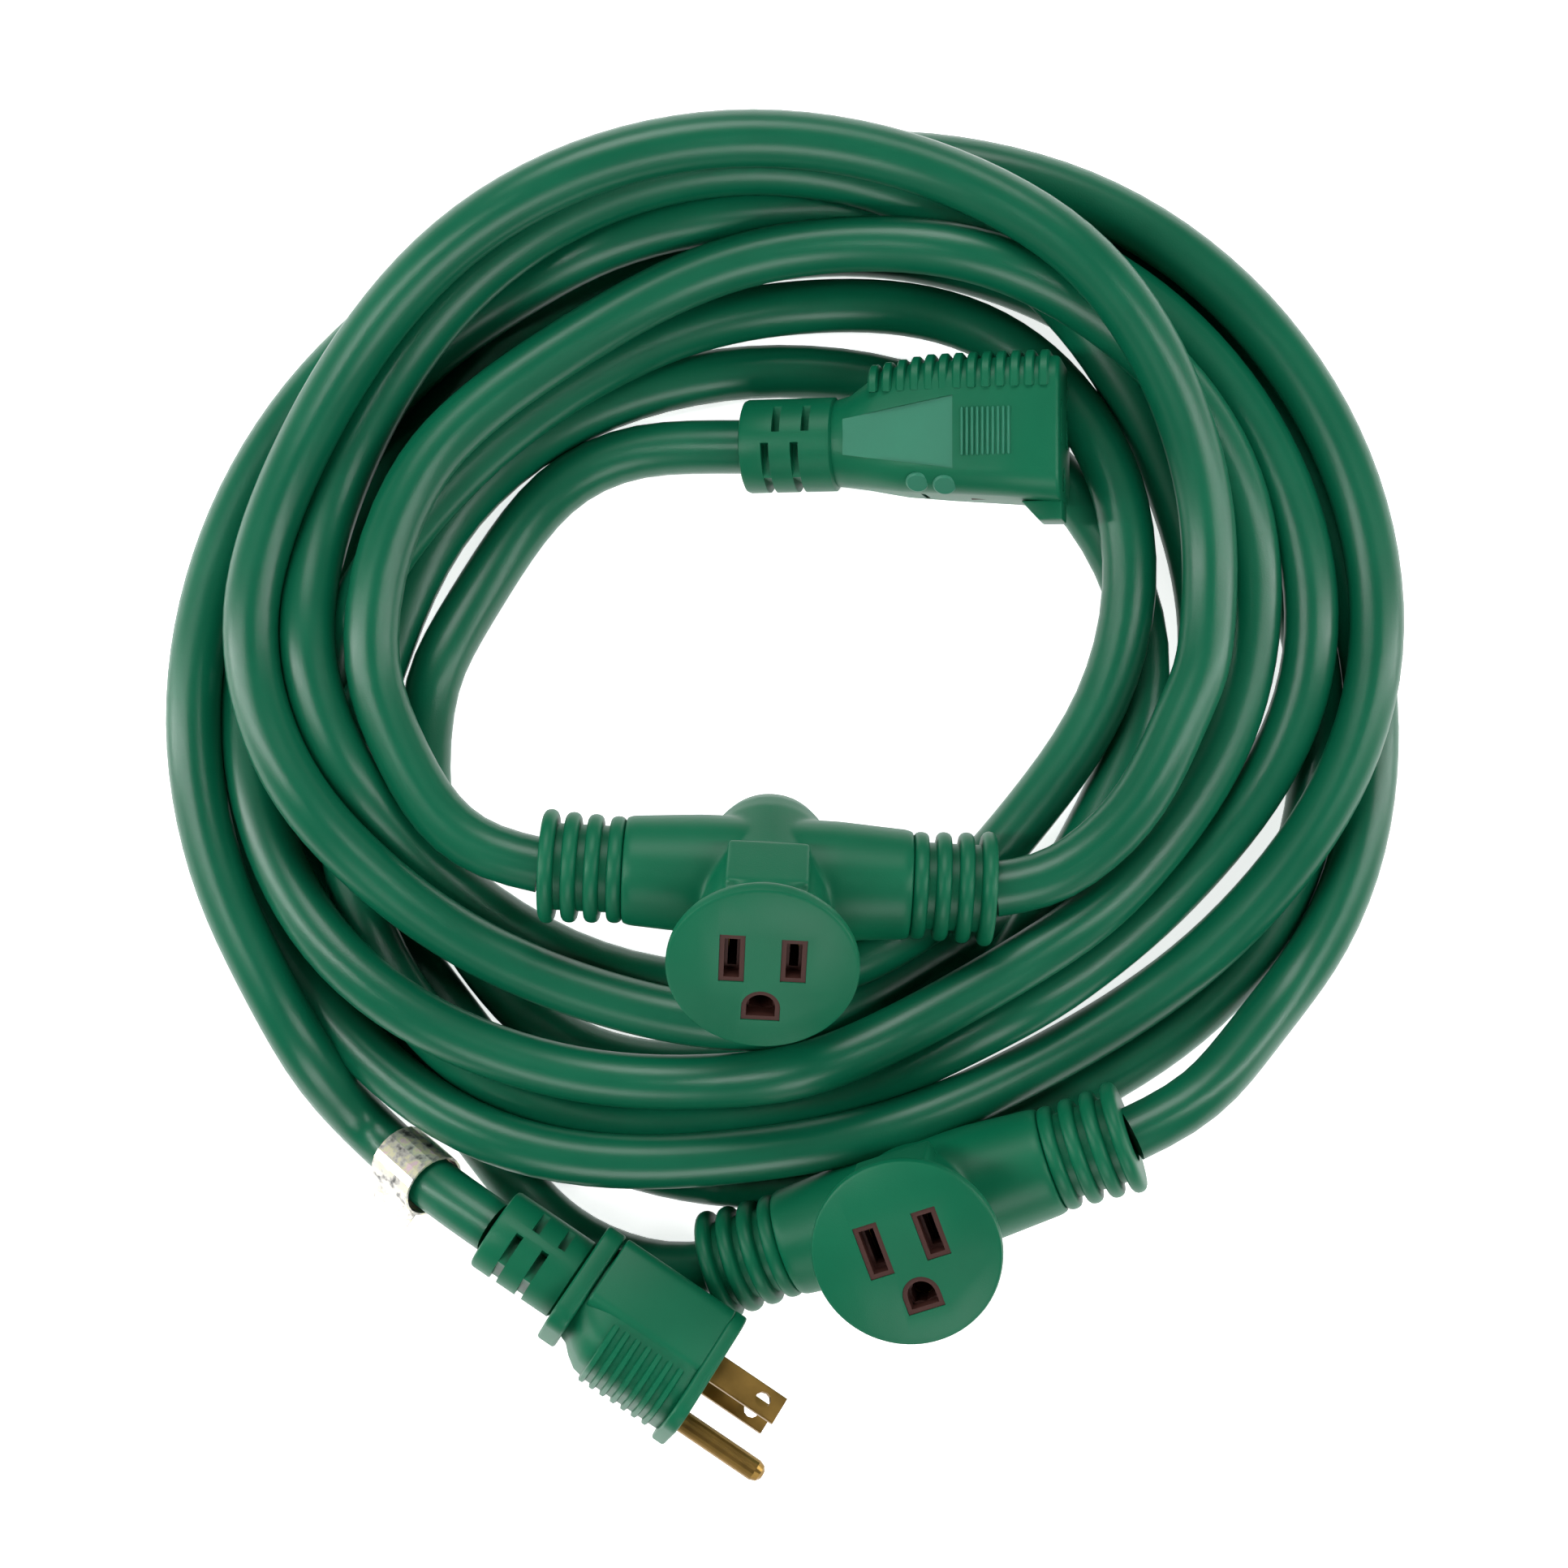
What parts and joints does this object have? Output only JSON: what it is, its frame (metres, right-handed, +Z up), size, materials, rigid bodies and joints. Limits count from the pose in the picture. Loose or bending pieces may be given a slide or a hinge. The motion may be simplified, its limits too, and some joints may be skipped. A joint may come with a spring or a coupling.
{
  "type": "extension cord",
  "caption": "Grounded outdoor extension cord wound in a flat coil, with a moulded plug, a connector and in-line outlet taps.",
  "frame": {"origin": "on the plane the coil lies on, below the middle of the whole object's box", "axes": "+Z up from the surface the coil lies on; +Y from the plug's side of the coil towards the connector's side; +X along the connector, from its strain relief to its outlet face"},
  "size_m": [0.28, 0.3001, 0.0722],
  "materials": {
    "jacket": "satin green vinyl",
    "moulding": "satin green vinyl, moulded",
    "carrier": "dark brown nylon",
    "brass": "plain rolled brass",
    "wire_black": "black insulation",
    "wire_white": "white insulation",
    "wire_green": "green insulation",
    "foil": "bright foil"
  },
  "bodies": {
    "root": {"cord_coil": "jacket", "cord_plug_lead": "jacket", "cord_tap_1_left": "jacket", "cord_tap_1_right": "jacket", "cord_tap_2_left": "jacket", "cord_tap_2_right": "jacket", "cord_connector_lead": "jacket", "tap_1_body": "moulding", "tap_1_carrier": "carrier", "tap_1_hot_contact": "brass", "tap_1_neutral_contact": "brass", "tap_1_ground_contact": "brass", "tap_1_hot_wire": "wire_black", "tap_1_neutral_wire": "wire_white", "tap_1_ground_wire": "wire_green", "tap_2_body": "moulding", "tap_2_carrier": "carrier", "tap_2_hot_contact": "brass", "tap_2_neutral_contact": "brass", "tap_2_ground_contact": "brass", "tap_2_hot_wire": "wire_black", "tap_2_neutral_wire": "wire_white", "tap_2_ground_wire": "wire_green", "connector_body": "moulding", "connector_carrier": "carrier", "connector_hot_contact": "brass", "connector_neutral_contact": "brass", "connector_ground_contact": "brass", "connector_hot_wire": "wire_black", "connector_neutral_wire": "wire_white", "connector_ground_wire": "wire_green", "plug_body": "moulding", "plug_bridge": "carrier", "plug_hot_blade": "brass", "plug_neutral_blade": "brass", "plug_ground_pin": "brass", "plug_hot_wire": "wire_black", "plug_neutral_wire": "wire_white", "plug_ground_wire": "wire_green", "foil_tag": "foil"}
  },
  "joints": []
}
